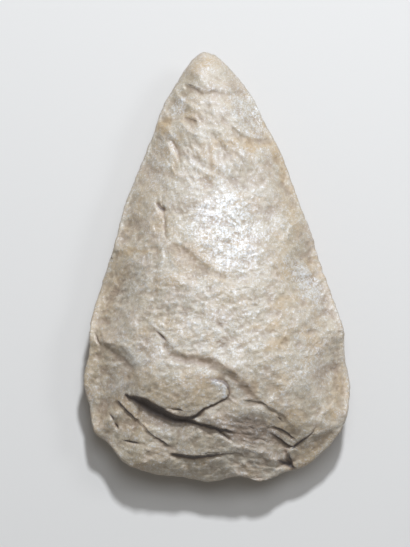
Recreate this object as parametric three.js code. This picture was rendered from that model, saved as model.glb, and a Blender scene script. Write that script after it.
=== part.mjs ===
// Stone hand axe: one piece of quartzite, flaked on both faces, lying on its flatter face.
// Millimetres, +Z up, +Y towards the point. The origin is on the surface it lies on, under the
// middle of its plan.
import * as THREE from "three";

const marginHeight = 17; // height of the sharp margin over the ground
const crown = 2.3; // fullness of a cross section: 2 is a parabola, more is squarer
const thinEdge = 0.42; // least share of the height that the flake scars leave
const bluntEdge = 0.7; // half the thickness of the worn margin
const roundShare = 0.025; // share of the way in from the margin that is rounded off
const marginSway = 0.45; // how far the margin bends towards the less flaked face
const ridgeBlend = 0.8; // how softly two scars meet in a ridge
const swell = 0.45; // height of the slow unevenness of the faces

const rings = 28; // rings of the mesh
const core = [0, -42]; // which close in on this point, where the relief is finest

// Plan, clockwise from the point
const plan = [
  [-4.5, 86.5], [2, 83.4], [10, 74.6], [15.3, 67.2], [19.2, 58.8], [25.6, 47],
  [30.2, 35], [34.2, 23.8], [38.3, 14.2], [41.4, 3.2], [47, -12.5], [51.3, -25.5],
  [51.8, -36], [53.8, -47], [52.6, -60], [47.2, -70], [36.6, -79.8], [28, -82.6],
  [18, -86], [8.2, -84.2], [-3, -86.5], [-14, -84.6], [-25, -83.2], [-36.2, -79.2],
  [-43, -71.6], [-49.2, -66], [-51.2, -56], [-53.6, -45.6], [-51.4, -34.4], [-50.8, -22.5],
  [-46.2, -6.5], [-41.2, 8.8], [-36.9, 25], [-29.6, 43.4], [-24.8, 55.2], [-22, 63.6],
  [-15.2, 75.4], [-9.6, 83.6],
];

// Crests of the two faces, from the butt to the point: x, y and the height over the margin
const upperCrest = [
  [0, -86.5, 0], [0, -83.5, 4.0], [0, -77, 9.6], [0, -66, 16.6], [0, -52, 22.6],
  [1, -35, 25.5], [0, 0, 21.8], [-2, 36, 16.2], [-3, 62, 11.6], [-4, 79, 7.4], [-4.5, 86.5, 0],
];
const lowerCrest = [
  [0, -86.5, 0], [0, -82, 5.2], [0, -70, 12.5], [0, -50, 16.9], [0, -25, 18],
  [-1, 10, 16.2], [-2, 40, 11.4], [-3, 65, 6.2], [-4, 80, 2.8], [-4.5, 86.5, 0],
];

// Flake scars, shallow oval hollows: at is the middle, turn the angle of the long axis from +X
// in degrees, size its half length and half width, and deep the depth at the middle.
const upperScars = [
  { at: [14, 62], turn: -60, size: [15, 8], deep: 2.0 }, // right of the point
  { at: [-17, 65], turn: 62, size: [8, 6], deep: 1.2 }, // left of the point
  { at: [-29, 44], turn: 66, size: [15, 8], deep: 1.6 }, // down the left margin
  { at: [-37, 19], turn: 70, size: [13, 11], deep: 1.8 },
  { at: [-45, -12], turn: 72, size: [20, 17], deep: 3.4 },
  { at: [-49, -46], turn: 50, size: [19, 18], deep: 4.6 }, // left corner of the butt
  { at: [-38, -66], turn: 40, size: [12, 8], deep: 2.0 },
  { at: [29, 33], turn: -62, size: [17, 7], deep: 1.8 }, // down the right margin
  { at: [41, -8], turn: -70, size: [19, 12], deep: 2.8 },
  { at: [54, -43], turn: -80, size: [17, 16], deep: 3.2 },
  { at: [20, -68], turn: -12, size: [17, 9], deep: 2.6 },
  { at: [40, -80], turn: 35, size: [17, 13], deep: 4.4 }, // right corner of the butt
  { at: [14, -80], turn: 5, size: [12, 8], deep: 2.6 }, // end of the butt
  { at: [-12, -90], turn: 0, size: [30, 14], deep: 3.2 },
  { at: [3, 18], turn: -82, size: [36, 25], deep: 1.8 }, // long smooth panel in the middle
  { at: [-4, -20], turn: 0, size: [36, 21], deep: 1.3 }, // rough panel below it
];
const lowerScars = [
  { at: [20, 68], turn: -60, size: [20, 12], deep: 2.6 },
  { at: [-24, 55], turn: 62, size: [20, 15], deep: 3.0 },
  { at: [36, 28], turn: -64, size: [21, 17], deep: 4.0 },
  { at: [-40, 14], turn: 66, size: [21, 20], deep: 4.6 },
  { at: [50, -18], turn: -75, size: [22, 24], deep: 5.4 },
  { at: [-52, -32], turn: 80, size: [23, 25], deep: 5.4 },
  { at: [48, -66], turn: -55, size: [22, 20], deep: 5.0 },
  { at: [-32, -80], turn: 25, size: [22, 17], deep: 5.2 },
  { at: [12, -88], turn: -10, size: [22, 18], deep: 5.4 },
];

// Step fractures: the stone drops along an edge, on the right of the edge's direction, and the
// floor rises back to the face over its reach. Along an edge: x, y, drop and width of the wall.
const upperSteps = [
  // under the rough panel
  { reach: 14, edge: [[-24, -25, 0.3, 2.6], [-14.3, -33.8, 2.6, 4.2], [-0.3, -36.7, 2.4, 4.4],
    [11.1, -45.4, 2.4, 4], [22, -56.5, 0.4, 2.6]] },
  // the deep crevice over the butt, a wedge that narrows to the right
  { reach: 27, edge: [[-37, -49.2, 0.4, 2.4], [-28.4, -53.2, 7.2, 4.8], [-15.6, -59.3, 7.4, 4.4],
    [-3, -62.2, 3.6, 2.4], [7.6, -65.2, 0.5, 2.4]] },
  // round the tongue of stone that hangs over it
  { reach: 6, edge: [[-10.5, -59.4, 1.2, 2.4], [-4.3, -55.3, 2.2, 2.4], [2.6, -52.2, 2.2, 2.4],
    [4.5, -49.5, 2.3, 2.4], [0.6, -44.5, 2.3, 2.4], [-8.5, -42.4, 0.2, 2.4]] },
  // shelf on the right of it
  { reach: 9, edge: [[9, -52, 0.2, 2.4], [16, -52.9, 1.0, 2.4], [24.4, -58.6, 1.6, 2.4], [23.6, -63.4, 0.5, 2.4]] },
  // thin flakes that did not come away, over the butt
  { reach: 9, edge: [[-40.6, -53, 0.3, 2.4], [-36, -56.8, 1.8, 2.4], [-24, -68.2, 1.2, 2.4], [-17, -72.6, 0.4, 2.4]] },
  { reach: 9, edge: [[-19, -74, 0.4, 2.4], [-9.5, -75.4, 2.6, 2.4], [7.4, -73.6, 0.4, 2.4]] },
  { reach: 6, edge: [[20.5, -65, 0.4, 2.4], [30.6, -72, 2.2, 2.4], [40.6, -61, 0.3, 2.4]] },
  // ledge at the right margin
  { reach: 9, edge: [[33, -25.4, 0.3, 2.4], [41, -24.6, 1.4, 2.4], [48, -25.6, 0.9, 2.4]] },
];
const lowerSteps = [
  { reach: 14, edge: [[-14, 24, 0.4, 3.4], [-19, 8, 2.2, 3.4], [-26, -6, 2.2, 3.4], [-27, -24, 0.4, 3.4]] },
  { reach: 12, edge: [[-6, -60, 0.4, 3.2], [8, -59, 1.8, 3.2], [22, -53, 1.8, 3.2], [33, -42, 0.4, 3.2]] },
  { reach: 12, edge: [[-12, 41, 0.3, 3.4], [-2, 36, 1.2, 3.4], [12, 38, 0.4, 3.4]] },
];

const { clamp, degToRad, lerp, smoothstep } = THREE.MathUtils;

function softMax(a, b, width) {
  const near = Math.max(width - Math.abs(a - b), 0);
  return Math.max(a, b) + (near * near) / (4 * width);
}

const margin = new THREE.CatmullRomCurve3(
  plan.map(([x, y]) => new THREE.Vector3(x, y, 0)), true, "catmullrom", 0.5);
margin.arcLengthDivisions = 2000;
const marginPoints = margin.getSpacedPoints(800);

// Left and right margin at a place along the length
function marginsAt(y) {
  let [left, right] = [Infinity, -Infinity];
  for (let i = 1; i < marginPoints.length; i++) {
    const [a, b] = [marginPoints[i - 1], marginPoints[i]];
    if ((a.y - y) * (b.y - y) > 0 || a.y === b.y) continue;
    const x = lerp(a.x, b.x, (y - a.y) / (b.y - a.y));
    left = Math.min(left, x);
    right = Math.max(right, x);
  }
  return { left, right };
}

// Reads a crest at a place along the length
function crestReader(stations) {
  const corners = stations.map((station) => new THREE.Vector3(...station));
  const points = new THREE.CatmullRomCurve3(corners, false, "catmullrom", 0.5).getPoints(400);
  return (y) => {
    const i = clamp(points.findIndex((point) => point.y >= y), 1, points.length - 1);
    const [a, b] = [points[i - 1], points[i]];
    return a.clone().lerp(b, clamp((y - a.y) / (b.y - a.y), 0, 1));
  };
}

// Depth that the flake scars take away
function scarDepth(x, y, scars) {
  let depth = 0;
  for (const { at, turn, size, deep } of scars) {
    const [dx, dy] = [x - at[0], y - at[1]];
    const [c, s] = [Math.cos(degToRad(turn)), Math.sin(degToRad(turn))];
    const along = (dx * c + dy * s) / size[0];
    const across = (dy * c - dx * s) / size[1];
    depth = softMax(depth, deep * (1 - along ** 2 - across ** 2), ridgeBlend);
  }
  return depth;
}

// Nearest place on a line of points: which stretch of the line it is on, how far along that, and
// the distance to it, positive on the right of the line's direction
function nearestOn(points, x, y) {
  let nearest = { distance: Infinity, place: 0 };
  for (let i = 0; i < points.length - 1; i++) {
    const [a, b] = [points[i], points[i + 1]];
    const [ux, uy] = [b.x - a.x, b.y - a.y];
    const t = clamp(((x - a.x) * ux + (y - a.y) * uy) / (ux * ux + uy * uy), 0, 1);
    const [dx, dy] = [x - a.x - t * ux, y - a.y - t * uy];
    const distance = Math.hypot(dx, dy);
    if (distance < Math.abs(nearest.distance)) {
      const onRight = uy * dx - ux * dy >= 0;
      nearest = { distance: onRight ? distance : -distance, place: i + t };
    }
  }
  return nearest;
}

// Depth that the step fractures take away
function stepDepth(x, y, steps) {
  let depth = 0;
  for (const { points, edge, reach } of steps) {
    const { distance, place } = nearestOn(points, x, y);
    const station = Math.min((place / (points.length - 1)) * (edge.length - 1), edge.length - 1.001);
    const [before, after] = [edge[Math.floor(station)], edge[Math.floor(station) + 1]];
    const [drop, wall] = [2, 3].map((i) => lerp(before[i], after[i], station % 1));
    const fall = smoothstep(distance, -0.2 * wall, 0.8 * wall);
    depth += drop * fall * clamp(1 - Math.max(distance, 0) / reach, 0, 1) ** 1.6;
  }
  return depth;
}

function splineSteps(steps) {
  return steps.map((step) => {
    const corners = step.edge.map(([x, y]) => new THREE.Vector2(x, y));
    return { ...step, points: new THREE.SplineCurve(corners).getPoints(32) };
  });
}

const upper = { crest: crestReader(upperCrest), scars: upperScars, steps: splineSteps(upperSteps) };
const lower = { crest: crestReader(lowerCrest), scars: lowerScars, steps: splineSteps(lowerSteps) };

// What one face has left over the margin, and how much of it was struck off
function flakedFace(face, x, y) {
  const { left, right } = marginsAt(y);
  const crest = face.crest(y);
  const outward = x > crest.x ? (x - crest.x) / (right - crest.x) : (crest.x - x) / (crest.x - left);
  const whole = left < right ? crest.z * (1 - clamp(outward, 0, 1) ** crown) : 0;

  const wanderX = x + 1.1 * Math.sin(y / 6.3 + x / 19);
  const wanderY = y + 1.1 * Math.sin(x / 7.1 - y / 23);
  const uneven = swell * Math.sin(x / 4.7 + Math.sin(y / 9)) * Math.sin(y / 5.3 + Math.sin(x / 11));
  const struck = scarDepth(wanderX, wanderY, face.scars) + stepDepth(x, y, face.steps);
  return { height: softMax(whole - struck - uneven, thinEdge * whole, 1.2), struck };
}

// Heights of the two faces at a place this share of the way out from the core
function heights(x, y, share) {
  const [above, below] = [flakedFace(upper, x, y), flakedFace(lower, x, y)];
  const middle = marginHeight + marginSway * (below.struck - above.struck) * share ** 4;
  const inward = clamp((share - 1 + roundShare) / roundShare, 0, 1);
  const rounded = Math.sqrt(1 - inward ** 2);
  return {
    top: middle + rounded * (above.height + bluntEdge),
    bottom: Math.max(middle - rounded * (below.height + bluntEdge), 0),
  };
}

// A closed mesh of two faces that share their outer ring. Ring k has 6k points, spaced evenly
// along the plan.
function flakedStone() {
  const places = [];
  const [topRings, bottomRings] = [[], []];
  function addPoint(x, y, z) {
    places.push(x, y, z);
    return places.length / 3 - 1;
  }
  for (let k = 0; k <= rings; k++) {
    const share = k / rings;
    const [topRing, bottomRing] = [[], []];
    for (let j = 0; j < Math.max(6 * k, 1); j++) {
      const outer = margin.getPointAt(k ? j / (6 * k) : 0);
      const x = lerp(core[0], outer.x, share);
      const y = lerp(core[1], outer.y, share);
      const { top, bottom } = heights(x, y, share);
      topRing.push(addPoint(x, y, top));
      bottomRing.push(k < rings ? addPoint(x, y, bottom) : topRing[j]);
    }
    topRings.push(topRing);
    bottomRings.push(bottomRing);
  }

  const triangles = [];
  function addTriangle(a, b, c, upsideDown) {
    triangles.push(...(upsideDown ? [a, b, c] : [a, c, b]));
  }
  for (const grid of [topRings, bottomRings]) {
    const upsideDown = grid === bottomRings;
    for (let k = 1; k <= rings; k++) {
      const [inner, outer] = [grid[k - 1], grid[k]];
      for (let j = 0; j < 6 * k; j++) {
        const sector = Math.floor(j / k);
        const below = inner[(j - sector) % inner.length];
        addTriangle(below, outer[j], outer[(j + 1) % outer.length], upsideDown);
        if ((j + 1) % k === 0) continue;
        const beside = inner[(j - sector + 1) % inner.length];
        addTriangle(below, outer[(j + 1) % outer.length], beside, upsideDown);
      }
    }
  }

  const geometry = new THREE.BufferGeometry();
  geometry.setAttribute("position", new THREE.Float32BufferAttribute(places, 3));
  geometry.setIndex(triangles);
  geometry.computeVertexNormals();
  return geometry;
}

const quartzite = new THREE.MeshStandardMaterial({ color: 0xc2b299, roughness: 0.6, metalness: 0 });

const geometry = flakedStone();
geometry.computeBoundingBox();
const middle = geometry.boundingBox.getCenter(new THREE.Vector3());
geometry.translate(-middle.x, -middle.y, -geometry.boundingBox.min.z);

const handAxe = new THREE.Mesh(geometry, quartzite);
handAxe.name = "hand_axe";

const axe = new THREE.Group();
axe.add(handAxe);
export default axe;
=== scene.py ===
import math
import bpy
import numpy as np
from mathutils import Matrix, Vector


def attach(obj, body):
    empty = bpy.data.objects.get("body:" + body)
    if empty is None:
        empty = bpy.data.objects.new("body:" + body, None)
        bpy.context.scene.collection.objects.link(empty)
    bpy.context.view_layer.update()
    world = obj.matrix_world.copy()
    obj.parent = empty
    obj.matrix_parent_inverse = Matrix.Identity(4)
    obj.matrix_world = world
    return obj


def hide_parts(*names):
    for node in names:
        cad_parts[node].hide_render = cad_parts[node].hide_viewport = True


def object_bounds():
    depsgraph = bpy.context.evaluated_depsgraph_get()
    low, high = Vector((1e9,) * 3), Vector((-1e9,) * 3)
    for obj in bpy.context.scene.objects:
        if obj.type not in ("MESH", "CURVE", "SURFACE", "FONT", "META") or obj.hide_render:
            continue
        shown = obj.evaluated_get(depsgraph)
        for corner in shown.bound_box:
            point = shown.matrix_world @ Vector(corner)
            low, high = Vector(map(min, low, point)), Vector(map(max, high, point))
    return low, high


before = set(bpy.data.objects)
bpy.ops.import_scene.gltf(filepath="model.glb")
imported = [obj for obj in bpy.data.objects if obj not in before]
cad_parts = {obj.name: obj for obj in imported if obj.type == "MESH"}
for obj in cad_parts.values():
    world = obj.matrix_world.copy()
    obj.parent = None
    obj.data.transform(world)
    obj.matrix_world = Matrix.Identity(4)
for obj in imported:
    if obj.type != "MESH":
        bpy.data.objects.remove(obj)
cadLow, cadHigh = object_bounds()

# Sizes of the stone are in millimetres, with the middle of its plan at 0, 0.
stone = {
    "length": 173,
    "marginHeight": 17,  # sharp margin over the ground
    "marginSway": 0.45,  # how far the margin bends towards the less flaked face
    "marginSwayPower": 4,  # how soon that fades away from the margin
    "bluntEdge": 0.7,  # half the thickness of the worn margin
    "roundShare": 0.012,  # share of the way in from the margin that is rounded off
    "nibble": 0.45,  # how deep the margin is chipped in plan
    "nibbleMiddle": 0.6,
    "nibbleMost": 1.4,
    "nibbleWaves": [(0.9, 3.1, 71), (0.6, 1.3, 72)],  # share, distance, seed
    "nibblePower": 40,  # keeps the chips close to the margin
    "crown": 2.3,  # fullness of a cross section
    "thinEdge": 0.42,  # least share of the height that the scars leave
    "thinBlend": 1.2,  # how softly they stop there
    "ridgeBlend": 0.3,  # how softly two scars meet in a ridge
    "scarSway": 1.1,  # how far the scars stray from their ovals
    "scarWaves": (6.3, 19, 7.1, 23),
    "swell": 0.45,  # height of the slow unevenness of the faces
    "swellWaves": (4.7, 9, 5.3, 11),
    "lumps": [(0.7, 11, 12, 1), (0.5, 5.6, 6.4, 2)],  # height, length across and along, seed
    "fullGrainHeight": 3,  # the grain is whole where the face stands this high over the margin
    "leastGrain": 0.15,
    "curveSteps": 40,  # points that a curve gets between two given ones
    "lineSteps": 10,
    "rings": 128,  # rings of the mesh
    "core": (0, -12),  # which close in on this point
    "upperSeed": 100,
    "lowerSeed": 300,
    "plan": [
        (-4.5, 86.5), (2, 83.4), (10, 74.6), (15.3, 67.2), (19.2, 58.8), (25.6, 47), (30.2, 35),
        (34.2, 23.8), (38.3, 14.2), (41.4, 3.2), (47, -12.5), (51.3, -25.5), (51.8, -36), (53.8, -47),
        (52.6, -60), (47.2, -70), (36.6, -79.8), (28, -82.6), (18, -86), (8.2, -84.2), (-3, -86.5),
        (-14, -84.6), (-25, -83.2), (-36.2, -79.2), (-43, -71.6), (-49.2, -66), (-51.2, -56),
        (-53.6, -45.6), (-51.4, -34.4), (-50.8, -22.5), (-46.2, -6.5), (-41.2, 8.8), (-36.9, 25),
        (-29.6, 43.4), (-24.8, 55.2), (-22, 63.6), (-15.2, 75.4), (-9.6, 83.6)],
    # crests of the two faces from butt to point: x, y, height over the margin
    "upperCrest": [
        (0, -86.5, 0), (0, -83.5, 4.0), (0, -77, 9.6), (0, -66, 16.6), (0, -52, 22.6), (1, -35, 25.5),
        (0, 0, 21.8), (-2, 36, 16.2), (-3, 62, 11.6), (-4, 79, 7.4), (-4.5, 86.5, 0)],
    "lowerCrest": [
        (0, -86.5, 0), (0, -82, 5.2), (0, -70, 12.5), (0, -50, 16.9), (0, -25, 18), (-1, 10, 16.2),
        (-2, 40, 11.4), (-3, 65, 6.2), (-4, 80, 2.8), (-4.5, 86.5, 0)],
    # flake scars: x, y, turn of the long axis in degrees, half length, half width, depth
    "upperScars": [
        (14, 62, -60, 15, 8, 2.0), (-17, 65, 62, 8, 6, 1.2), (-29, 44, 66, 15, 8, 1.6),
        (-37, 19, 70, 13, 11, 1.8), (-45, -12, 72, 20, 17, 3.4), (-49, -46, 50, 19, 18, 4.6),
        (29, 33, -62, 17, 7, 1.8), (41, -8, -70, 19, 12, 2.8), (54, -43, -80, 17, 16, 3.2),
        (40, -80, 35, 17, 13, 4.4), (-12, -90, 0, 30, 14, 3.2), (3, 18, -82, 36, 25, 1.8),
        (-4, -20, 0, 36, 21, 1.3), (-38, -66, 40, 12, 8, 2.0), (14, -80, 5, 12, 8, 2.6),
        (20, -68, -12, 17, 9, 2.6), (27.5, -78.8, 10, 4.5, 1.8, 2.2)],
    "lowerScars": [
        (20, 68, -60, 20, 12, 2.6), (-24, 55, 62, 20, 15, 3.0), (36, 28, -64, 21, 17, 4.0),
        (-40, 14, 66, 21, 20, 4.6), (50, -18, -75, 22, 24, 5.4), (-52, -32, 80, 23, 25, 5.4),
        (48, -66, -55, 22, 20, 5.0), (-32, -80, 25, 22, 17, 5.2), (12, -88, -10, 22, 18, 5.4)],
    # step fractures: reach of the floor, soil and painted shade in the angle, then x, y, drop and width
    # of the wall along the edge; the stone falls away on the right of the line, and a doubled point is a
    # corner
    "upperSteps": [
        # under the rough panel
        (14, 0.3, [(-24, -25, 0.3, 2), (-19, -30.5, 1.0, 2.6), (-14.3, -33.8, 1.7, 3.8),
            (-7.4, -35.1, 1.6, 4.2), (-0.3, -36.7, 1.6, 4.2), (6, -41.1, 1.7, 4.2),
            (11.1, -45.4, 1.5, 4.0), (17.1, -52.3, 0.9, 3.0), (22, -55.8, 0.3, 2.4)]),
        # the deep crevice over the butt
        (24, 1.25, [(-36.8, -50.3, 0.2, 0.6), (-34.4, -51.1, 2.6, 1.5), (-29.3, -51.9, 5.6, 3.9),
            (-24.4, -54.5, 6.4, 4.5), (-20.1, -56.7, 6.0, 4.1), (-15.8, -58.9, 5.0, 3.3),
            (-12.5, -59.6, 4.2, 2.6), (-8.2, -61, 2.9, 1.8), (-0.6, -63.2, 2.4, 1.6),
            (6.4, -65, 0.6, 1.2)]),
        # round the tongue of stone that hangs over it
        (6, 0.9, [(-12.6, -59.6, 1.2, 1.4), (-7.7, -58, 2.4, 1.5), (-5, -55.8, 1.9, 1.1),
            (-1, -53.9, 1.3, 0.8), (3.2, -51.9, 1.2, 0.8), (4.5, -49.6, 1.5, 1.2),
            (3.9, -47.3, 1.6, 1.4), (1.9, -45.7, 1.4, 1.4), (-1.7, -45, 0.8, 1.4),
            (-4.5, -44.8, 0.1, 1.4)]),
        # the plateau's edge, right of the tongue
        (8, 0.2, [(9.6, -52.2, 0.1, 0.7), (12, -52.6, 0.7, 0.8), (15.9, -53.2, 0.6, 0.9),
            (18.6, -53.8, 0.8, 0.9), (21, -55.4, 1.0, 1.2), (25, -57.6, 1.1, 1.4),
            (27.6, -59.6, 0.9, 1.4), (29, -62, 0.2, 1.4)]),
        # thin flake left standing at the left
        (9, 0.7, [(-40.4, -52.9, 0.2, 0.7), (-38.5, -54.5, 1.4, 1.0), (-35.3, -57.7, 1.3, 1.0),
            (-31, -61.5, 0.8, 0.8), (-26, -66.4, 0.8, 0.7), (-21, -69.7, 0.9, 0.7),
            (-16.6, -72.2, 0.2, 0.7)]),
        # thin flake left standing over the butt
        (8, 1.1, [(-18.6, -73.8, 0.2, 0.8), (-16.5, -74.4, 1.5, 1.2), (-12, -74.9, 2.4, 1.8),
            (-7.7, -75.1, 2.4, 1.8), (-4, -75.1, 1.3, 1.1), (0.5, -74.5, 0.6, 0.7),
            (6.8, -74, 0.2, 0.7)]),
        # the vee at the right
        (5, 0.8, [(20.4, -65.4, 0.1, 0.7), (21.6, -66, 0.7, 0.8), (24.2, -67.6, 1.2, 0.9),
            (27, -69.9, 1.4, 0.9), (30.6, -71.8, 1.7, 1.0), (30.6, -71.8, 1.7, 1.0),
            (32.5, -70.2, 1.5, 0.9), (35.9, -67.6, 1.1, 0.8), (38.1, -65.4, 0.8, 0.8),
            (40.3, -61.5, 0.1, 0.7)]),
        # ridge inside the vee
        (2.6, 0.8, [(22, -63, 0.1, 0.7), (23.4, -63.6, 1.0, 0.8), (27, -65.1, 1.1, 0.8),
            (30.3, -67.6, 0.9, 0.8), (32.4, -69.6, 0.1, 0.7)]),
        # left side of the butt's right corner
        (7, 0.7, [(29.4, -71.9, 0.2, 0.8), (28.3, -73.4, 0.9, 1.2), (29.2, -76, 1.6, 1.5),
            (30.8, -79, 2.4, 1.8), (32.4, -82, 1.6, 2.0)]),
        # ledge at the right margin
        (9, 0.1, [(33, -25.4, 0.2, 1.6), (37, -24.9, 0.7, 2), (41, -24.6, 0.8, 2.2),
            (48, -25.6, 0.8, 2.4)]),
        # top of the butt's right corner
        (9, 0.1, [(34.4, -69, 0.2, 1.2), (39, -67.2, 0.8, 1.6), (45, -65, 1.1, 2),
            (51.5, -62.4, 0.9, 2)]),
        # across the point
        (8, 0.4, [(-12.6, 73.8, 0.2, 0.8), (-10.8, 72.8, 1.2, 1.1), (-7.6, 71.4, 0.8, 1.3),
            (-4.8, 69.9, 0.8, 1.6), (0, 70.6, 0.7, 1.6), (4, 69.4, 0.5, 1.2), (8, 70.2, 0.5, 1.0),
            (11.5, 70.4, 0.1, 1)]),
        # left of the point
        (6, 0.3, [(-20, 59.9, 0.3, 1.2), (-17.6, 59.4, 0.8, 1.2), (-12.6, 59.8, 0.7, 1.2),
            (-8.8, 58.6, 1.0, 1.0), (-6.6, 57, 0.1, 1)]),
        # foot of the bright facet at the point
        (9, 0.1, [(5.6, 57.6, 0.2, 1.4), (9.2, 53.8, 0.9, 1.6), (14.2, 51.6, 1.0, 1.6),
            (22, 52.2, 0.8, 1.6)]),
        # foot of the smooth panel
        (11, 0.15, [(-19.6, 8.4, 0.4, 2), (-16.4, 10, 0.8, 2.6), (-12.2, 8.4, 0.8, 3.2),
            (-5.5, 2.6, 0.8, 3.4), (3, -1.6, 0.6, 3.6), (14, -1, 0.1, 3.6)]),
        # notch in the left margin
        (9, 0.15, [(-43, 6.5, 0.8, 2.2), (-32, 7.4, 0.7, 2.4), (-23, 8.4, 0.7, 2.4),
            (-22.4, 3, 0.6, 2.4), (-23.7, -8, 0.3, 2.4)]),
        # above the left corner of the butt
        (10, 0.15, [(-45, -28, 0.5, 2.4), (-42, -31.4, 0.9, 2.4), (-33, -39, 1.0, 2.4),
            (-31, -45, 0.6, 2.4), (-31, -49, 0.2, 2.4)])],
    "lowerSteps": [
        # left of the middle
        (14, 0.3, [(-14, 24, 0.4, 2), (-19, 8, 2.2, 2.6), (-26, -6, 2.2, 2.6), (-27, -24, 0.4, 2.6)]),
        # over the butt
        (12, 0.3, [(-6, -60, 0.4, 2), (8, -59, 1.8, 2.2), (22, -53, 1.8, 2.2), (33, -42, 0.4, 2.2)]),
        # across the point
        (12, 0.2, [(-12, 41, 0.3, 2), (-2, 36, 1.2, 2.4), (12, 38, 0.4, 2.4)])],
    # cracks: depth, half width, line
    "cracks": [
        (1.0, 0.5, [(-42.8, -58.6), (-41.6, -60.2), (-41, -61.8)]),
        (1.0, 0.5, [(-40.8, -61.8), (-40, -63.4), (-39.4, -65)]),
        (0.9, 0.5, [(-36.6, -69.4), (-33, -70.1), (-29.8, -70.4)]),
        (1.1, 0.6, [(-0.6, -64), (3.7, -67.2), (6, -68.8)]),
        (1.0, 0.6, [(-24.6, -24.8), (-21.8, -27.4), (-18.8, -30.2)]),
        (1.2, 0.8, [(-23.6, 26), (-22.4, 23.6), (-19.6, 22)]),
        (0.5, 0.6, [(-22, 31), (-21, 22), (-20.4, 15), (-19.4, 8)]),
        (0.5, 0.8, [(-18.4, 52), (-15.6, 46), (-13.8, 39)]),
        (0.4, 0.8, [(-3.4, 53), (-2.6, 44), (-1.6, 36)]),
        (0.9, 0.6, [(-20.4, -55.6), (-17, -56.2), (-13.4, -56.7)]),
        (0.5, 0.5, [(-4.7, -75.8), (-0.5, -75.4), (4, -75.4)]),
        (0.8, 0.5, [(-49, -26), (-47.6, -29.4), (-45.8, -31.6)]),
        (1.6, 1.1, [(23.6, -77), (27.6, -78.7), (31.4, -80.6)]),
        (0.7, 0.6, [(24, -59.4), (25, -59.9), (26, -60.6)]),
        (0.6, 0.5, [(12.6, -63.2), (13.9, -63.5), (15.4, -64)])],
    # rougher places: x, y, turn, half length, half width, strength
    "broken": [
        (14, -65, -15, 13, 7, 0.6), (2, -80, 0, 16, 6, 0.7), (-30, -76, 30, 14, 6, 0.7),
        (25, -78, 20, 8, 5, 0.6), (-45, -62, 60, 9, 6, 0.6), (-47, -26, 70, 8, 5, 0.6),
        (-4, 64, -55, 14, 8, 0.4)],
    # rows of small broken steps: x, y, turn, half length, half width, spacing, height
    "hackles": [
        (12, -66, -9, 13, 6.5, 1.9, 0.85), (15, -76, -14, 12, 5, 2.2, 0.8),
        (-4, -81, 3, 18, 5, 2.0, 0.6), (-28, -75, -22, 13, 6, 1.9, 0.5),
        (-44, -55, -60, 13, 5, 2.0, 0.4), (3, 15, -7, 17, 17, 1.5, 0.08),
        (1, 60, -47, 15, 9, 3.4, 0.4), (-6, 40, -66, 16, 8, 2.6, 0.24),
        (4, -20, 14, 26, 15, 2.3, 0.18), (38, -38, 24, 14, 10, 2.1, 0.18),
        (-38, -8, 62, 20, 7, 2.2, 0.18), (-10, -50, -14, 11, 6, 1.9, 0.2),
        (0, -69, -10, 12, 3.5, 1.8, 0.5), (-36, -34, -48, 9, 8, 2.0, 0.25)],
    # painted shade: thin dark lines under step edges and in cracks; line, and how dark and wide it is at
    # each point
    "shadedHairlines": [
        ([(-40.4, -52.9), (-38.5, -54.6), (-35.3, -57.8), (-31, -61.7), (-26, -66.6), (-21, -69.9),
          (-16.6, -72.3)],
         (0, 1.5, 1.4, 0.4, 0.8, 1.1, 0)),
        ([(-4, -75.3), (0.5, -74.7), (6.8, -74.1), (12, -74.4)], (1, 0.9, 0.7, 0)),
        ([(-10.4, -74.4), (-4.5, -74.1), (0.5, -73.6), (5, -73.4)], (0, 0.7, 0.6, 0)),
        ([(20.4, -65.5), (21.6, -66.2), (24.2, -67.9), (27, -70.2), (30.6, -72.1), (30.6, -72.1),
          (32.7, -70.4), (36.1, -67.8), (38.3, -65.5), (40.5, -61.5)],
         (0, 0.7, 1, 1, 1.3, 1.3, 1.2, 0.9, 0.6, 0)),
        ([(22, -63.1), (23.4, -63.8), (27, -65.4), (30.3, -67.9), (32.4, -69.8)], (0, 1, 1.2, 0.9, 0)),
        ([(9.6, -52.3), (12, -52.8), (15.9, -53.4), (18.6, -54.1), (21, -55.7)], (0, 0.8, 0.6, 0.8, 0)),
        ([(-0.6, -64.2), (3.7, -67.4), (6, -69)], (0.3, 0.9, 0)),
        ([(-7.7, -58.2), (-5, -56.1), (-1, -54.2), (3.2, -52.2), (4.6, -50.4)], (1.5, 1, 0.7, 0.9, 0)),
        ([(-14.6, -59.4), (-11.6, -60), (-8.6, -59.2), (-6.4, -57.4)], (0, 2.6, 2, 0.6)),
        ([(-24.6, -24.8), (-21.8, -27.4), (-18.8, -30.2)], (0.2, 1, 0.4)),
        ([(-24, 25), (-22.6, 23.4), (-19.6, 22)], (0.2, 0.8, 0.3)),
        ([(-42.8, -58.6), (-41.6, -60.2), (-41, -61.8)], (0.6, 1.2, 0.3)),
        ([(-40.8, -61.8), (-40, -63.4), (-39.4, -65)], (0.4, 1.1, 0.2)),
        ([(-36.6, -69.4), (-33, -70.1), (-29.8, -70.4)], (1.2, 1.1, 0.3)),
        ([(-20.4, -55.6), (-17, -56.2), (-14.8, -56.4), (-13.2, -56.9)], (0.5, 0.6, 1.3, 0.4)),
        ([(-11.6, 73.4), (-10.6, 72.7), (-8, 71.6)], (0.4, 0.8, 0)),
        ([(4, 69.3), (7, 70), (11, 70.4)], (0, 0.5, 0)),
        ([(-17.6, 59.2), (-12.6, 59.6), (-8.6, 58.3)], (0, 0.3, 0.6)),
        ([(-43, 4.6), (-42.2, 3.8), (-41.2, 3.4)], (0.4, 1, 0.3)),
        ([(-49, -26), (-47.6, -29.4), (-45.8, -31.6)], (0.2, 0.8, 0)),
        ([(24.6, -77.3), (27.6, -78.7), (30.8, -80.2)], (0.8, 2.6, 1.4)),
        ([(28.4, -73), (28.9, -75.4), (29.6, -77.4)], (0.3, 0.8, 1)),
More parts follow.
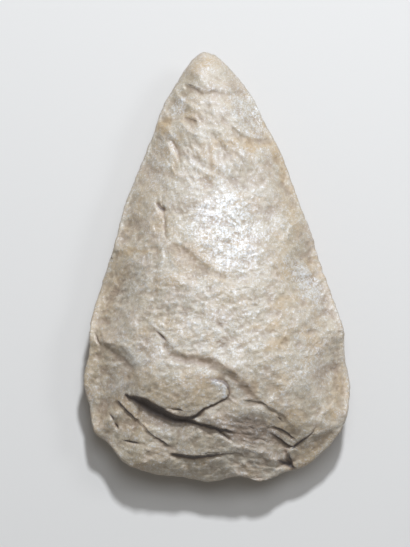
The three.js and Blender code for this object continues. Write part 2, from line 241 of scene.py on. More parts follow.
        ([(24, -59.6), (25, -60.2), (26.2, -60.9)], (0.5, 1, 0.4)),
        ([(12.6, -63.4), (13.9, -63.7), (15.4, -64.2)], (0.5, 1, 0.4)),
        ([(8, -60.6), (12, -61.6), (17, -61.8)], (0, 0.6, 0)),
        ([(7, -70.6), (13, -71.2), (19, -73)], (0, 0.6, 0)),
        ([(13, -67.4), (18, -68.6), (23, -71.4)], (0, 0.7, 0))],
    # the face is worn to a polish, and painted paler as sheen, on the point's side of this line, and dull
    # on the butt's side
    "dullLine": [
        (-60, -14), (-47, -24), (-41, -31), (-33, -38.5), (-29, -41), (-24, -38), (-16.5, -34.2),
        (-7.4, -35.4), (-0.3, -37), (6, -41.4), (11.1, -45.7), (17.1, -53), (24, -57), (30.5, -56),
        (37, -58.5), (42, -60), (60, -60)],
    # places of each finish: x, y, turn, half length, half width, strength
    # polish, which also paints the grains paler as sheen
    "polishedAndSheen": [
        (4, 14, -78, 20, 15, 0.75), (-2, 33, 80, 12, 12, 0.3), (24, 20, 60, 12, 7, 0.5),
        (36, -7, -60, 14, 4.5, 0.9), (12, 61, -60, 12, 6, 0.7), (-15.2, 63.4, 60, 4, 3, 0.9),
        (-4, 80, 0, 5, 3, 0.3), (-22, 42, 66, 14, 7, 0.5), (38, -36, 80, 18, 11, 0.4),
        (2, -20, 0, 30, 18, 0.28), (-29, -2, 80, 9, 8, 0.4), (-28, -33, 40, 10, 6, 0.5)],
    "polishedAndSheenBelow": [
        (1.6, -47.4, -62, 4.4, 1.6, 1.0), (40, -71, 35, 9, 5, 0.3), (-44, -44, 70, 12, 8, 0.35)],
    # paler patches: bare quartz, and painted highlight on rims and facets that catch the light
    "pale": [
        (3.4, -48.4, -82, 3.2, 0.9, 1.0), (0.8, -45.9, -24, 2.6, 0.9, 1.0),
        (12, 61, -60, 12, 5.5, 0.35), (-15.2, 63.4, 60, 4.4, 3.2, 0.3), (36, -7, -60, 14, 4, 0.4),
        (4, 14, -78, 18, 13, 0.3), (40, -72, 38, 10, 4.6, 0.4), (28, -67.4, -38, 5, 1.2, 0.6),
        (-11, -73.6, -3, 6, 0.9, 0.5), (-20, -31, -35, 3, 2, 0.6), (-18, -45, 20, 6, 3, 0.3)],
    # darker brown patches: brown stone, and painted shade on step walls, in the crevice and in notches
    "brownedAndShaded": [
        (13, -65, -14, 13, 6, 0.9), (16, -74, -20, 10, 4, 0.5), (-2, -38.4, -14, 13, 2.4, 0.5),
        (10, -47, -45, 8, 2.4, 0.6), (27, -76.5, 60, 4, 3, 0.6), (-22, -62, -30, 8, 2.4, 0.4),
        (1, -62.6, -14, 8, 1.6, 0.7), (-5, 71, 0, 6, 1.2, 0.5), (-12, 4, -35, 8, 4, 0.3)],
    "stained": [
        (-11, 4, -32, 9, 5, 0.9), (-1, -2, -20, 8, 3, 0.5), (19, -24, 5, 7, 1.8, 1.0),
        (27, -13.6, 15, 7, 2.2, 0.8), (24, -30, 40, 7, 2.6, 0.8), (-1, -38.6, -20, 14, 2.4, 0.7),
        (11, -46, -45, 9, 2.4, 0.8), (-44, -12, 70, 18, 5, 0.6), (-46, -36, 60, 10, 8, 0.4),
        (26, 40, -68, 14, 2.2, 0.9), (-32, 6, 0, 9, 1.6, 0.8), (-1.6, 43, 85, 9, 1.4, 0.7),
        (-21.4, 56.8, 60, 4, 3, 1.0), (14, 49, -10, 9, 2.0, 0.8), (-16, 45, 85, 9, 1.6, 0.6),
        (39, -74, 40, 12, 5, 0.7), (30, -61, 40, 6, 4, 0.6), (-25, -48, -30, 12, 5, 0.5),
        (-48, -62, 60, 8, 4, 0.5), (-8, 79, 60, 5, 4, 0.5), (-31, 24, 70, 12, 3, 0.5),
        (43, -2, -70, 14, 2.4, 0.7), (18.4, 56.8, -60, 3, 1.6, 0.8), (-6, -52, 10, 6, 3, 0.5),
        (29, 22, -66, 9, 3, 0.6), (48, -50, 80, 12, 3, 0.6)],
}


def throughPoints(points, perSpan, closed=False):  # smooth curve through points
    p = np.array(points, float)
    p = np.vstack([p[-1:], p, p[:2]] if closed else [2 * p[:1] - p[1:2], p, 2 * p[-1:] - p[-2:-1]])
    t = (np.arange(perSpan) / perSpan)[:, None]
    spans = []
    for a, b, c, d in zip(p, p[1:], p[2:], p[3:]):
        bend, twist = 2 * a - 5 * b + 4 * c - d, 3 * b - a - 3 * c + d
        spans.append(0.5 * (2 * b + (c - a) * t + bend * t**2 + twist * t**3))
    return np.vstack(spans) if closed else np.vstack(spans + [p[-2:-1]])


def softMax(a, b, width):
    return np.maximum(a, b) + np.maximum(width - np.abs(a - b), 0) ** 2 / (4 * width)


def ramp(x, low, high):
    t = np.clip((x - low) / (high - low), 0, 1)
    return t * t * (3 - 2 * t)


def hashed(ix, iy, seed):  # the same "random" number for the same cell, -1 to 1
    h = (ix * 374761393 + iy * 668265263 + seed * 974634777) & 0xFFFFFFFF
    h = ((h ^ (h >> 13)) * 1274126177) & 0xFFFFFFFF
    return ((h ^ (h >> 16)) & 0xFFFF) / 32767.5 - 1


def bumps(x, y, seed):  # smooth noise with cells of size 1
    ix, iy = np.floor(x).astype(np.int64), np.floor(y).astype(np.int64)
    fx, fy = x - ix, y - iy
    u, v = [f**3 * (f * (f * 6 - 15) + 10) for f in (fx, fy)]
    corner = []
    for dy in (0, 1):
        for dx in (0, 1):
            turn = hashed(ix + dx, iy + dy, seed) * math.pi
            corner.append(np.cos(turn) * (fx - dx) + np.sin(turn) * (fy - dy))
    return (corner[0] * (1 - u) + corner[1] * u) * (1 - v) + (corner[2] * (1 - u) + corner[3] * u) * v


stray = {  # how far drawn things stray from their places: reach, distance, seeds across and along
    "steps": [(0.5, 2.6, 11, 12)],
    "cracks": [(0.6, 2.2, 13, 14)],
    "scars": [(0.8, 7, 5, 6)],
    "hackles": [(1.2, 4, 15, 16), (0.5, 1.7, 17, 18)],
    "grain": [(1.6, 5, 21, 22), (0.7, 1.9, 23, 24)],
    "patches": [(3, 6, 81, 82), (1.2, 2.2, 83, 84)],
    "shine": [(1.6, 4, 85, 87), (0.8, 1.8, 86, 88)],
}


def strayed(x, y, kind, seed=0):
    awayX, awayY = x, y
    for reach, distance, seedX, seedY in stray[kind]:
        awayX = awayX + reach * bumps(x / distance, y / distance, seed + seedX)
        awayY = awayY + reach * bumps(x / distance, y / distance, seed + seedY)
    return awayX, awayY


def besideLine(x, y, line, reach):  # distance, positive on the right of the line, and share along it
    points = throughPoints(line, stone["lineSteps"])
    distance, share = np.full(x.shape, 1e3), np.zeros(x.shape)
    near = np.flatnonzero(
        (x > points[:, 0].min() - reach) & (x < points[:, 0].max() + reach)
        & (y > points[:, 1].min() - reach) & (y < points[:, 1].max() + reach))
    px, py = x[near], y[near]
    best, bestShare = np.full(px.shape, 1e3), np.zeros(px.shape)
    for i, (a, b) in enumerate(zip(points, points[1:])):
        ux, uy = b - a
        t = np.clip(((px - a[0]) * ux + (py - a[1]) * uy) / (ux * ux + uy * uy), 0, 1)
        dx, dy = px - a[0] - t * ux, py - a[1] - t * uy
        away = np.hypot(dx, dy)
        closer = away < np.abs(best)
        best = np.where(closer, np.where(uy * dx - ux * dy >= 0, away, -away), best)
        bestShare = np.where(closer, (i + t) / (len(points) - 1), bestShare)
    distance[near], share[near] = best, bestShare
    return distance, share


margin = throughPoints(stone["plan"], stone["curveSteps"], closed=True)
tipIndex = margin[:, 1].argmax()
margin = np.roll(margin, -tipIndex, axis=0)
buttIndex = margin[:, 1].argmin()


def marginsAt(y):
    right, left = margin[:buttIndex + 1][::-1], margin[buttIndex:]
    return (np.interp(y, np.maximum.accumulate(left[:, 1]), left[:, 0]),
            np.interp(y, np.maximum.accumulate(right[:, 1]), right[:, 0]))


def turned(x, y, turn, length, width):
    c, s = math.cos(math.radians(turn)), math.sin(math.radians(turn))
    return (x * c + y * s) / length, (y * c - x * s) / width


def scarDepth(x, y, scars):
    depth = np.zeros_like(x)
    for atX, atY, turn, halfLength, halfWidth, deep in scars:
        along, across = turned(x - atX, y - atY, turn, halfLength, halfWidth)
        depth = softMax(depth, deep * (1 - along**2 - across**2), stone["ridgeBlend"])
    return depth


fracture = {  # places on a wall are in widths of that wall
    "wall": (-0.15, 0.7),  # where the wall starts and ends
    "floorCurve": 1.6,  # how the floor comes back up to the face
    "darkTop": (-0.2, 0.1),  # where the soil and painted shade start and are full
    "darkFoot": (1.15, 0.85),  # and where it ends
    "darkFade": 0.5,  # how much lighter the foot is painted
    "darkDrop": 1,  # drop from which a wall is fully darkened
    # soil and painted shade in the cracks, as a share of their depth
    "crackDirtAndShade": 0.5,
    "crackTaper": 0.3,  # share of a crack that runs out at each end
    "crackReach": 4,  # in half widths
    "hairlineReach": 3,
    "hairlineFade": (-2.2, -1.4),
}


def stepDepth(x, y, steps):  # depth under the steps, and how dark their walls are painted with soil and painted shade
    x, y = strayed(x, y, "steps")
    depth, soilAndShade = np.zeros_like(x), np.zeros_like(x)
    for reach, dirtAndShade, stations in steps:
        lineX, lineY, drops, walls = np.array(stations).T
        distance, share = besideLine(x, y, list(zip(lineX, lineY)), reach)
        along = share * (len(stations) - 1)
        drop, wall = [np.interp(along, np.arange(len(stations)), values) for values in (drops, walls)]
        down = distance / wall
        floor = np.clip(1 - np.maximum(distance, 0) / reach, 0, 1) ** fracture["floorCurve"]
        depth += drop * ramp(down, *fracture["wall"]) * floor
        within = ramp(down, *fracture["darkTop"]) * ramp(down, *fracture["darkFoot"])
        fade = 1 - fracture["darkFade"] * np.clip(down, 0, 1)
        # painted shade under each step's edge, with brown soil, lighter towards the foot of the wall
        soilAndShade += dirtAndShade * np.minimum(drop, fracture["darkDrop"]) * within * fade
    return depth, soilAndShade


def crackDepth(x, y, cracks):
    x, y = strayed(x, y, "cracks")
    depth = np.zeros_like(x)
    for deep, halfWidth, line in cracks:
        distance, share = besideLine(x, y, line, fracture["crackReach"] * halfWidth)
        ends = ramp(share, 0, fracture["crackTaper"]) * ramp(1 - share, 0, fracture["crackTaper"])
        depth += deep * np.exp(-((distance / halfWidth) ** 2)) * ends
    return depth


def shadedHairlines(x, y):  # signed distance to the nearest thin edge or crack, and how dark its painted shade is
    x, y = strayed(x, y, "steps")
    side, dark = np.full_like(x, 3 * fracture["hairlineReach"]), np.zeros_like(x)
    for line, strengths in stone["shadedHairlines"]:
        distance, share = besideLine(x, y, line, fracture["hairlineReach"])
        closer = np.abs(distance) < np.abs(side)
        strength = np.interp(share * (len(line) - 1), np.arange(len(line)), strengths)
        side, dark = np.where(closer, distance, side), np.where(closer, strength, dark)
    return side, dark * ramp(-np.abs(side), *fracture["hairlineFade"])


def patches(x, y, places, end=1.35, fade=0.8):  # soft-edged ovals, 0 to 1
    wx, wy = strayed(x, y, "patches")
    amount = np.zeros_like(x)
    for atX, atY, turn, halfLength, halfWidth, strength in places:
        along, across = turned(wx - atX, wy - atY, turn, halfLength, halfWidth)
        amount = np.maximum(amount, strength * ramp(end - np.hypot(along, across), 0, fade))
    return amount


def facets(x, y, seed, lean=0.45, softness=0.03, jitter=0.42, bowl=0.7, sink=0.14, level=0.12):
    # leaning hollows with sharp ridges between them, each round a point of its own
    ix, iy = np.floor(x).astype(np.int64), np.floor(y).astype(np.int64)
    lowest = np.full(x.shape, 2.0)
    for dy in (-1, 0, 1):
        for dx in (-1, 0, 1):
            cx, cy = ix + dx, iy + dy
            rx = x - cx - 0.5 - jitter * hashed(cx, cy, seed)
            ry = y - cy - 0.5 - jitter * hashed(cx, cy, seed + 1)
            tilt = lean * (hashed(cx, cy, seed + 2) * rx + hashed(cx, cy, seed + 3) * ry)
            here = bowl * (rx * rx + ry * ry) + tilt + sink * hashed(cx, cy, seed + 4)
            lowest = -softMax(-lowest, -here, softness)
    return lowest - level


hackle = {
    "end": 1.3,  # where a row has run out, in its half sizes
    "fade": 0.6,
    "waver": (0.5, 6, 2, 19),  # share of the spacing, distance along and across, seed
    "breaks": (0.6, 1.1, 1.3),  # middle, sway and greatest share of the height
    "breakLength": 4,
    "breakSeed": 49,
    "rise": 0.3,  # share of a step that climbs
}


def hackles(x, y):  # rows of small steps that fall away from the point
    waver, waverAlong, waverAcross, waverSeed = hackle["waver"]
    middle, sway, most = hackle["breaks"]
    wx, wy = strayed(x, y, "hackles")
    height = np.zeros_like(x)
    for i, (atX, atY, turn, halfLength, halfWidth, spacing, deep) in enumerate(stone["hackles"]):
        along, across = turned(wx - atX, wy - atY, turn, 1, 1)
        out = np.hypot(along / halfLength, across / halfWidth)
        inside = ramp(hackle["end"] - out, 0, hackle["fade"])
        wave = bumps(along / waverAlong, across / waverAcross, waverSeed + i)
        part = (across / spacing + waver * wave) % 1
        broken = bumps(along / hackle["breakLength"], across / spacing, hackle["breakSeed"] + i)
        share = np.clip(middle + sway * broken, 0, most)
        height += inside * deep * share * (ramp(part, 0, hackle["rise"]) - part)
    return height


ground = {
    # where the rougher ground of the point begins and is full, and how its border sways
    "pointSpan": (26, 44),
    "pointSway": (8, 12, 25),  # reach, distance, seed
    # the smooth panel is an oval round this middle
    "panelMiddle": (3, 14),
    "panelLengthwise": 0.9,
    "panelSpan": (-30, -17),
    "panelSway": (5, 9, 26),
    # facets of each ground: turn, length, width, height, seed
    "point": [(-47, 9.0, 3.8, 1.7, 31), (-40, 3.4, 1.9, 0.6, 35)],
    "panel": [(-12, 5.4, 2.6, 0.34, 41), (-4, 2.9, 1.5, 0.3, 45)],
    "rest": [(12, 5.0, 3.4, 0.7, 51), (18, 2.7, 1.9, 0.55, 55)],
    "crumb": [(0, 1.5, 1.25, 0.34, 61)],
    "broken": [(8, 3.8, 2.6, 1.5, 81)],
    "blocks": (25, 12, 9, 1.2, 71),  # the largest, all over
    "blockLean": 0.6,
    "blockSoftness": 0.02,
    "blocksInside": 0.35,  # share of their height that is left away from the margin
    "marginSpan": (0.45, 0.8),  # way out to the margin on which they grow to the whole
}


def swayed(x, y, sway, seed):
    reach, distance, ownSeed = sway
    return reach * bumps(x / distance, y / distance, seed + ownSeed)


def pointGround(x, y, seed):
    return ramp(y + swayed(x, y, ground["pointSway"], seed), *ground["pointSpan"])


def grain(x, y, outward, seed):
    wx, wy = strayed(x, y, "grain", seed)
    middleX, middleY = ground["panelMiddle"]
    away = np.hypot(x - middleX, (y - middleY) * ground["panelLengthwise"])
    point = pointGround(x, y, seed)
    panel = ramp(swayed(x, y, ground["panelSway"], seed) - away, *ground["panelSpan"]) * (1 - point)
    shares = {
        "point": point,
        "panel": panel,
        "rest": (1 - point) * (1 - panel),
        "crumb": 1,
        "broken": patches(x, y, stone["broken"])}
    height = np.zeros_like(x)
    for name, share in shares.items():
        for turn, length, width, high, ownSeed in ground[name]:
            height += share * high * facets(*turned(wx, wy, turn, length, width), seed + ownSeed)
    turn, length, width, high, ownSeed = ground["blocks"]
    blocks = facets(*turned(wx, wy, turn, length, width), seed + ownSeed,
                    ground["blockLean"], ground["blockSoftness"])
    inside = ground["blocksInside"]
    return height + high * blocks * (inside + (1 - inside) * ramp(outward, *ground["marginSpan"]))


def face(x, y, crest, scars, steps, seed):  # what one face has left over the margin
    path = throughPoints(crest, stone["curveSteps"])
    crestX, crestHeight = [np.interp(y, path[:, 1], path[:, i]) for i in (0, 2)]
    left, right = marginsAt(y)
    halfWidth = np.where(x > crestX, right - crestX, crestX - left)
    outward = np.abs(x - crestX) / np.maximum(halfWidth, 0.01)
    whole = crestHeight * (1 - np.clip(outward, 0, 1) ** stone["crown"])

    wanderX, wanderY = strayed(x, y, "scars", seed)
    a, b, c, d = stone["scarWaves"]
    wanderX = wanderX + stone["scarSway"] * np.sin(y / a + x / b)
    wanderY = wanderY + stone["scarSway"] * np.sin(x / c - y / d)
    a, b, c, d = stone["swellWaves"]
    uneven = stone["swell"] * np.sin(x / a + np.sin(y / b)) * np.sin(y / c + np.sin(x / d))
    for high, across, along, ownSeed in stone["lumps"]:
        uneven += high * bumps(x / across, y / along, seed + ownSeed)
    stepped, soilAndShade = stepDepth(x, y, steps)
    isUpper = seed == stone["upperSeed"]
    cracked = crackDepth(x, y, stone["cracks"] if isUpper else [])
    struck = scarDepth(wanderX, wanderY, scars) + stepped + cracked
    height = softMax(whole - struck - uneven, stone["thinEdge"] * whole, stone["thinBlend"])
    rough = grain(x, y, outward, seed) + (hackles(x, y) if isUpper else 0)
    height = height + rough * np.clip(whole / stone["fullGrainHeight"], stone["leastGrain"], 1)
    # how dark the face is painted in its steps and cracks: soil and painted shade
    return height, struck, np.clip(soilAndShade + fracture["crackDirtAndShade"] * cracked, 0, 1)


def ringPlaces():
    closed = np.vstack([margin, margin[:1]])
    run = np.concatenate([[0], np.cumsum(np.hypot(*np.diff(closed, axis=0).T))])
    core = np.array(stone["core"], float)
    places, shares = [core[None]], [np.zeros(1)]
    for k in range(1, stone["rings"] + 1):
        at = np.arange(6 * k) / (6 * k) * run[-1]
        outer = np.column_stack([np.interp(at, run, closed[:, i]) for i in (0, 1)])
        share = k / stone["rings"]
        places.append(core + share * (outer - core))
        shares.append(np.full(6 * k, share))
    return np.vstack(places), np.concatenate(shares)


def ringTriangles():
    triangles = []
    starts = np.cumsum([0, 1] + [6 * k for k in range(1, stone["rings"] + 1)])
    for k in range(1, stone["rings"] + 1):
        j = np.arange(6 * k)
        sector = j // k
        innerCount = max(6 * (k - 1), 1)
        below = starts[k - 1] + (j - sector) % innerCount
        beside = starts[k - 1] + (j - sector + 1) % innerCount
        here, following = starts[k] + j, starts[k] + (j + 1) % (6 * k)
        triangles.append(np.column_stack([below, following, here]))
        inside = (j + 1) % k != 0
        triangles.append(np.column_stack([below, beside, following])[inside])
    return np.vstack(triangles), starts[-2]


def buildStone():
    places, shares = ringPlaces()
    x, y = places.T
    chip = stone["nibbleMiddle"]
    for high, distance, seed in stone["nibbleWaves"]:
        chip = chip + high * bumps(x / distance, y / distance, seed)
    chip = stone["nibble"] * np.clip(chip, 0, stone["nibbleMost"])
    inwards = np.array(stone["core"]) - places
    inwards /= np.maximum(np.hypot(*inwards.T), 1)[:, None]
    places = places + inwards * (chip * shares ** stone["nibblePower"])[:, None]

    above, struckAbove, soilAndShadeAbove = face(
        x, y, stone["upperCrest"], stone["upperScars"], stone["upperSteps"], stone["upperSeed"])
    below, struckBelow, soilAndShadeBelow = face(
        x, y, stone["lowerCrest"], stone["lowerScars"], stone["lowerSteps"], stone["lowerSeed"])
    sway = stone["marginSway"] * (struckBelow - struckAbove) * shares ** stone["marginSwayPower"]
    middle = stone["marginHeight"] + sway
    inward = np.clip((shares - 1 + stone["roundShare"]) / stone["roundShare"], 0, 1)
    rounded = np.sqrt(1 - inward**2)
    top = middle + rounded * (above + stone["bluntEdge"])
    bottom = np.maximum(middle - rounded * (below + stone["bluntEdge"]), 0)

    triangles, rimStart = ringTriangles()
    count = len(places)
    lowerIndex = np.where(np.arange(count) < rimStart, np.arange(count) + count, np.arange(count))
    points = np.vstack([np.column_stack([places, top]), np.column_stack([places, bottom])[:rimStart]])
    soilAndShade = np.concatenate([soilAndShadeAbove, soilAndShadeBelow[:rimStart]])
    return points, np.vstack([triangles, lowerIndex[triangles[:, ::-1]]]), soilAndShade, count


def smoothed(points, triangles, rounds):
    edges = np.vstack([triangles[:, [0, 1]], triangles[:, [1, 2]], triangles[:, [2, 0]]])
    count = len(points)
    links = np.bincount(edges[:, 0], minlength=count)
    for _ in range(rounds):
        sums = [np.bincount(edges[:, 0], points[edges[:, 1], i], count) for i in range(3)]
        points = np.column_stack(sums) / links[:, None]
    return points


# shine sets roughness and coat, and paints the grains paler as sheen
finish = {
    "plainBright": (0.18, 0.06),  # shine of the ground above the dull line, and of the point
    "pointSpan": (45, 60),
    "dullBright": 0.1,  # shine on the dull side
    "dullSpan": (-0.4, 0.8),  # width of the border between the two
    "dullReach": 200,
    # underside: least and greatest, length of its patches, where they begin and are full, seed
    "underBright": (0.35, 0.85, 14, -0.1, 0.5, 91),
    "underStained": (0, 0.8, 13, 0.05, 0.5, 92),
    # how far the surface stands out of its smoothed self: rounds, greatest height
    "fineRelief": (10, 0.12),
    "wideRelief": (90, 0.6),
}


def wornShineAndSheen(x, y):  # how much the grains shine, 0 to 1: polish, and painted sheen in the colour
    wx, wy = strayed(x, y, "shine")
    below, _ = besideLine(wx, wy, stone["dullLine"], finish["dullReach"])
    plain, point = finish["plainBright"]
    plain = plain + (point - plain) * ramp(y, *finish["pointSpan"])
    above = np.maximum(patches(x, y, stone["polishedAndSheen"]), plain)
    under = np.maximum(patches(x, y, stone["polishedAndSheenBelow"]), finish["dullBright"])
    return under + (above - under) * ramp(-below, *finish["dullSpan"])


def underPatches(x, y, least, greatest, length, low, high, seed):
    return least + (greatest - least) * ramp(bumps(x / length, y / length, seed), low, high)


def makeStone():
    points, triangles, soilAndShade, upperCount = buildStone()
    lower, higher = points.min(0), points.max(0)
    mm = (cadHigh.y - cadLow.y) / stone["length"]
    centre = (lower + higher) / 2
    room = (cadHigh.z - cadLow.z) / mm / (higher[2] - lower[2])
    points = (points - [centre[0], centre[1], lower[2]]) * [1, 1, min(room, 1)] * mm
    points += [(cadLow.x + cadHigh.x) / 2, (cadLow.y + cadHigh.y) / 2, cadLow.z]

    mesh = bpy.data.meshes.new("flakedStone")
    mesh.from_pydata(points, [], triangles)
    mesh.polygons.foreach_set("use_smooth", np.ones(len(triangles), bool))
    mesh.update()
    normals = np.empty(len(points) * 3)
    mesh.vertices.foreach_get("normal", normals)
    normals = normals.reshape(-1, 3)
    amounts = {}
    for name in ("fineRelief", "wideRelief"):
        rounds, scale = finish[name]
        out = ((points - smoothed(points, triangles, rounds)) * normals).sum(1) / mm
        amounts[name] = np.clip(out / scale, -1, 1)
    upper = np.arange(len(points)) < upperCount
    x, y = points[:, 0] / mm, points[:, 1] / mm
    side, dark = shadedHairlines(x, y)
    underBright = underPatches(x, y, *finish["underBright"])
    underStained = underPatches(x, y, *finish["underStained"])
    amounts.update({
        "shineAndSheen": np.where(upper, wornShineAndSheen(x, y), underBright),
        "stained": np.where(upper, patches(x, y, stone["stained"]), underStained),
        "brownedAndShaded": np.where(upper, patches(x, y, stone["brownedAndShaded"]), 0),
        "paledHighlight": np.where(upper, patches(x, y, stone["pale"]), 0),
        "soiledAndShaded": soilAndShade,
        "pointward": pointGround(x, y, stone["upperSeed"]),
        "hairlineSide": side,
        "hairlineShade": np.where(upper, dark, 0)})
    for name, amount in amounts.items():
        layer = mesh.attributes.new(name, "FLOAT", "POINT")
        layer.data.foreach_set("value", amount.astype(np.float32))
    return bpy.data.objects.new("handAxe", mesh)


quartzite = {
    "tan": (0.40, 0.315, 0.205),
    "pale": (0.46, 0.385, 0.285),
    "rose": (0.41, 0.305, 0.215),
    "ochre": (0.40, 0.275, 0.145),
    "umber": (0.22, 0.155, 0.11),
    "brown": (0.24, 0.16, 0.10),
    # near-black painted shade in step walls, cracks and thin dark lines
    "dirtAndShade": (0.055, 0.036, 0.025),
    "quartzAndGlint": (0.62, 0.60, 0.565),  # bare grains, and painted glints where they shine
    # clouds of colour laid over the tan: size, detail and roughness of the noise, where it starts
    # and is full, amount
    "clouds": [
        ("pale", 45, 5, 0.6, 0.36, 0.66, 1), ("ochre", 90, 5, 0.65, 0.5, 0.66, 0.75),
        ("rose", 130, 4, 0.6, 0.5, 0.36, 0.5)],
    "stain": 0.9,
    "stainNoise": (300, 4, 0.6),
    "stainSpan": (0.3, 0.55),
    "umberAndShadePlaces": 0.75,
    "specks": ("brown", 2300, 3, 0.6, 0.48, 0.3, 0.5),
    # brown in the wide hollows and in the small ones: where it starts and is full, and amount
    "hollows": (-0.3, -1, 0.45),
    "pits": (-0.2, -1, 0.4),
    # what lays grains bare and paints them pale as glints and sheen: from, to, and what that adds
    "bareness": {
        "speck": (0.3, 0.7, -0.6, 0.6),
        "shineAndSheen": (0, 1, -0.35, 0.3),
        "crumb": (0, 1, -0.7, 0.7),
        "fine": (-1, 1, -0.25, 0.25),
        "stained": (0, 1, 0, -0.3),
        "paledHighlight": (0, 1, 0, 0.5)},
    "speckNoise": (900, 5, 0.8),
    "bareAndGlintColour": (0, 1.3, 0, 0.85),
    "soilAndShade": (0.1, 0.5, 0, 0.8),  # brown soil first
    "thickSoilAndShade": (0.4, 0.9),  # then the near-black of painted shade under the edges
    "hairlineEdge": (0.4, 0.12),
    "bareShine": (-0.3, 0.9),
    "brightShine": (0, 1, -0.1, 0.2),
    "dull": 0.58,  # roughness where it is weathered
    "worn": 0.28,  # and where it is polished
    "gloss": 1,
    "glint": 1,  # clear coat of the bare grains
    "glintFrom": 0.1,
    "glintRoughness": 0.27,
    # grains: turn, length, width
    "crumbs": (20, 0.0005, 0.0005),
    "restGrains": [(-10, 0.0016, 0.0009), (15, 0.0040, 0.0022)],
    "pointGrains": [(-46, 0.0020, 0.0009), (-46, 0.0060, 0.0026)],
    "grainLean": 0.19,  # how far the grains lean away from the surface
    "coatLean": 0.30,
    "bumpNoise": (1000, 5, 0.7),
    "bumpDepth": 0.0003,
}


def makeQuartzite():
    material = bpy.data.materials.new("weatheredQuartzite")
    material.use_nodes = True
    tree = material.node_tree
    nodes, links = tree.nodes, tree.links
    shader = nodes["Principled BSDF"]
    position = nodes.new("ShaderNodeTexCoord").outputs["Object"]

    def feed(sockets, values):
        for socket, value in zip(sockets, values):
            if isinstance(value, bpy.types.NodeSocket):
                links.new(value, socket)
            elif value is not None:
                socket.default_value = value

    def noise(scale, detail=4, roughness=0.55):
        node = nodes.new("ShaderNodeTexNoise")
        feed([node.inputs[name] for name in ("Vector", "Scale", "Detail", "Roughness")],
             [position, scale, detail, roughness])
        return node.outputs["Fac"]

    def attribute(name):
        node = nodes.new("ShaderNodeAttribute")
        node.attribute_name = name
        return node.outputs["Fac"]

    def remap(value, low, high, toLow=0.0, toHigh=1.0):
        node = nodes.new("ShaderNodeMapRange")
        feed([node.inputs[name] for name in ("Value", "From Min", "From Max", "To Min", "To Max")],
             [value, low, high, toLow, toHigh])
        return node.outputs["Result"]

    def mix(factor, a, b):
        node = nodes.new("ShaderNodeMix")
        node.data_type = "RGBA"
        colours = [(*value, 1) if isinstance(value, tuple) else value for value in (a, b)]
        feed([node.inputs[0], node.inputs[6], node.inputs[7]], [factor, *colours])
        return node.outputs[2]

    def sums(operation, a, b):
        node = nodes.new("ShaderNodeMath")
        node.operation = operation
        feed(node.inputs, [a, b])
        return node.outputs[0]

    def vectors(operation, a, b=None):
        node = nodes.new("ShaderNodeVectorMath")
        node.operation = operation
        feed(node.inputs, [a, b])
        return node.outputs[0]

    def cloud(under, name, size, detail, roughness, low, high, amount):
        return mix(remap(noise(size, detail, roughness), low, high, 0, amount), under, quartzite[name])

    fine, shineAndSheen, stained = attribute("fineRelief"), attribute("shineAndSheen"), attribute("stained")
    colour = quartzite["tan"]
    for layer in quartzite["clouds"]:
        colour = cloud(colour, *layer)
    stain = sums("MULTIPLY", stained, remap(noise(*quartzite["stainNoise"]), *quartzite["stainSpan"]))
    colour = mix(remap(stain, 0, 1, 0, quartzite["stain"]), colour, quartzite["ochre"])
    # darker brown: brown stone and painted shade
    colour = mix(remap(attribute("brownedAndShaded"), 0, 1, 0, quartzite["umberAndShadePlaces"]), colour, quartzite["umber"])
    colour = cloud(colour, *quartzite["specks"])
    for relief, name in ((attribute("wideRelief"), "hollows"), (fine, "pits")):
        low, high, amount = quartzite[name]
        colour = mix(remap(relief, low, high, 0, amount), colour, quartzite["brown"])

    def grainCells(turn, length, width):  # a random colour for each grain
        mapping = nodes.new("ShaderNodeMapping")
        mapping.vector_type = "TEXTURE"
        feed([mapping.inputs[name] for name in ("Vector", "Rotation", "Scale")],
             [position, (0, 0, math.radians(turn)), (length, width, width)])
        cells = nodes.new("ShaderNodeTexVoronoi")
        feed([cells.inputs["Scale"], cells.inputs["Vector"]], [1.0, mapping.outputs["Vector"]])
        return cells.outputs["Color"]

    parted = nodes.new("ShaderNodeSeparateColor")
    links.new(grainCells(*quartzite["crumbs"]), parted.inputs["Color"])
    sources = {
        "speck": noise(*quartzite["speckNoise"]), "shineAndSheen": shineAndSheen, "crumb": parted.outputs[0],
        "fine": fine, "stained": stained, "paledHighlight": attribute("paledHighlight")}
    bareAndGlint = 0.0
    for name, span in quartzite["bareness"].items():
        bareAndGlint = sums("ADD", bareAndGlint, remap(sources[name], *span))
    soiledAndShaded = attribute("soiledAndShaded")
    # pale grains: bare quartz, and painted glints and sheen where the stone shines
    colour = mix(remap(bareAndGlint, *quartzite["bareAndGlintColour"]), colour, quartzite["quartzAndGlint"])
    # step walls and cracks: brown soil, then painted shade
    colour = mix(remap(soiledAndShaded, *quartzite["soilAndShade"]), colour, quartzite["brown"])
    colour = mix(remap(soiledAndShaded, *quartzite["thickSoilAndShade"]), colour, quartzite["dirtAndShade"])
    beside = sums("DIVIDE", sums("ABSOLUTE", attribute("hairlineSide"), None), attribute("hairlineShade"))
    near = remap(beside, *quartzite["hairlineEdge"])
    hairlineShade = sums("MULTIPLY", near, sums("MINIMUM", attribute("hairlineShade"), 1.0))
    # painted shade along thin edges and cracks
    colour = mix(hairlineShade, colour, quartzite["dirtAndShade"])
    links.new(colour, shader.inputs["Base Color"])

    shine = sums("ADD", remap(bareAndGlint, *quartzite["bareShine"]), remap(shineAndSheen, *quartzite["brightShine"]))
    links.new(remap(shine, 0, 1, quartzite["dull"], quartzite["worn"]), shader.inputs["Roughness"])
    shader.inputs["Specular IOR Level"].default_value = quartzite["gloss"]
    glint = remap(shineAndSheen, quartzite["glintFrom"], 1, 0, quartzite["glint"])
    links.new(glint, shader.inputs["Coat Weight"])
    shader.inputs["Coat Roughness"].default_value = quartzite["glintRoughness"]

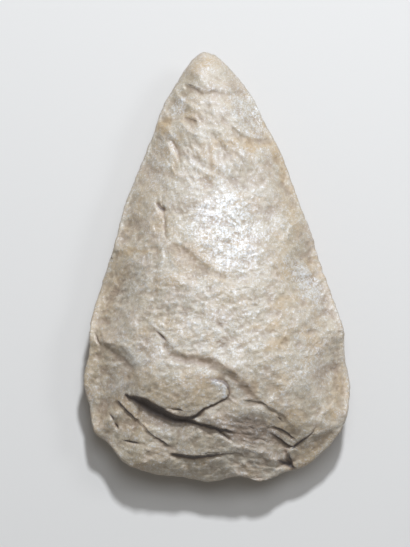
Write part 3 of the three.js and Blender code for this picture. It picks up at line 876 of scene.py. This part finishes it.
    bump = nodes.new("ShaderNodeBump")
    feed([bump.inputs[name] for name in ("Strength", "Distance", "Height")],
         [1.0, quartzite["bumpDepth"], noise(*quartzite["bumpNoise"])])
    rest = vectors("ADD", *[grainCells(*cell) for cell in quartzite["restGrains"]])
    point = vectors("ADD", *[grainCells(*cell) for cell in quartzite["pointGrains"]])
    lean = vectors("SUBTRACT", mix(attribute("pointward"), rest, point), (1.0, 1.0, 1.0))
    for socket, amount in (("Normal", quartzite["grainLean"]), ("Coat Normal", quartzite["coatLean"])):
        tilt = vectors("MULTIPLY", lean, (amount,) * 3)
        links.new(vectors("NORMALIZE", vectors("ADD", bump.outputs["Normal"], tilt)), shader.inputs[socket])
    return material


axe = makeStone()
bpy.context.scene.collection.objects.link(axe)
print("stone:", len(axe.data.polygons), "triangles")
axe.data.materials.append(makeQuartzite())
print("material:", axe.data.materials[0].name)
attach(axe, "root")
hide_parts("hand_axe")

studio = {
    "floorSize": 6,
    "floorColour": (0.57, 0.52, 0.455),
    "floorRoughness": 0.8,
    # lamps: name, direction, distance, size, power
    "lamps": [
        ("key", (0.14, 0.80, 1.0), 1.3, 0.12, 20),
        ("sheen", (0.06, 0.30, 1.0), 1.2, 0.5, 4.0),
        ("side", (0.85, 0.45, 1.0), 1.2, 0.35, 2.2)],
    "lightColour": (0.84, 0.94, 1.10),
    "skyColour": (0.92, 0.96, 1.0),
    "skyStrength": 0.22,
    "cameraHeight": 1.25,
    "viewHeight": 0.2188,  # what the picture takes in from top to bottom
    "viewCentre": (-0.0048, -0.0026),
    "sensor": 36,
}


def makeFloor():
    bpy.ops.mesh.primitive_plane_add(size=studio["floorSize"], location=(0, 0, cadLow.z))
    floor = bpy.context.object
    floor.name = "floor"
    material = bpy.data.materials.new("paleFloor")
    material.use_nodes = True
    shader = material.node_tree.nodes["Principled BSDF"]
    shader.inputs["Base Color"].default_value = (*studio["floorColour"], 1)
    shader.inputs["Roughness"].default_value = studio["floorRoughness"]
    floor.data.materials.append(material)


def makeLights():
    for name, direction, distance, size, power in studio["lamps"]:
        light = bpy.data.lights.new(name, "AREA")
        light.shape = "DISK"
        light.size = size
        light.energy = power
        light.color = studio["lightColour"]
        lamp = bpy.data.objects.new(name, light)
        away = Vector(direction).normalized()
        lamp.location = away * distance
        lamp.rotation_euler = away.to_track_quat("Z", "Y").to_euler()
        lamp.visible_camera = False
        bpy.context.scene.collection.objects.link(lamp)
    world = bpy.data.worlds.new("sky")
    world.use_nodes = True
    background = world.node_tree.nodes["Background"]
    background.inputs["Color"].default_value = (*studio["skyColour"], 1)
    background.inputs["Strength"].default_value = studio["skyStrength"]
    bpy.context.scene.world = world


def makeCamera():
    data = bpy.data.cameras.new("camera")
    camera = bpy.data.objects.new("camera", data)
    x, y = studio["viewCentre"]
    top = (cadLow.z + cadHigh.z) / 2
    camera.location = (x, y, top + studio["cameraHeight"])
    data.sensor_fit = "AUTO"
    data.sensor_width = studio["sensor"]
    data.lens = studio["sensor"] * studio["cameraHeight"] / studio["viewHeight"]
    data.clip_end = 10
    bpy.context.scene.collection.objects.link(camera)
    bpy.context.scene.camera = camera


makeFloor()
makeLights()
makeCamera()
bpy.context.scene.view_settings.view_transform = "Standard"
print("floor, lights and camera")
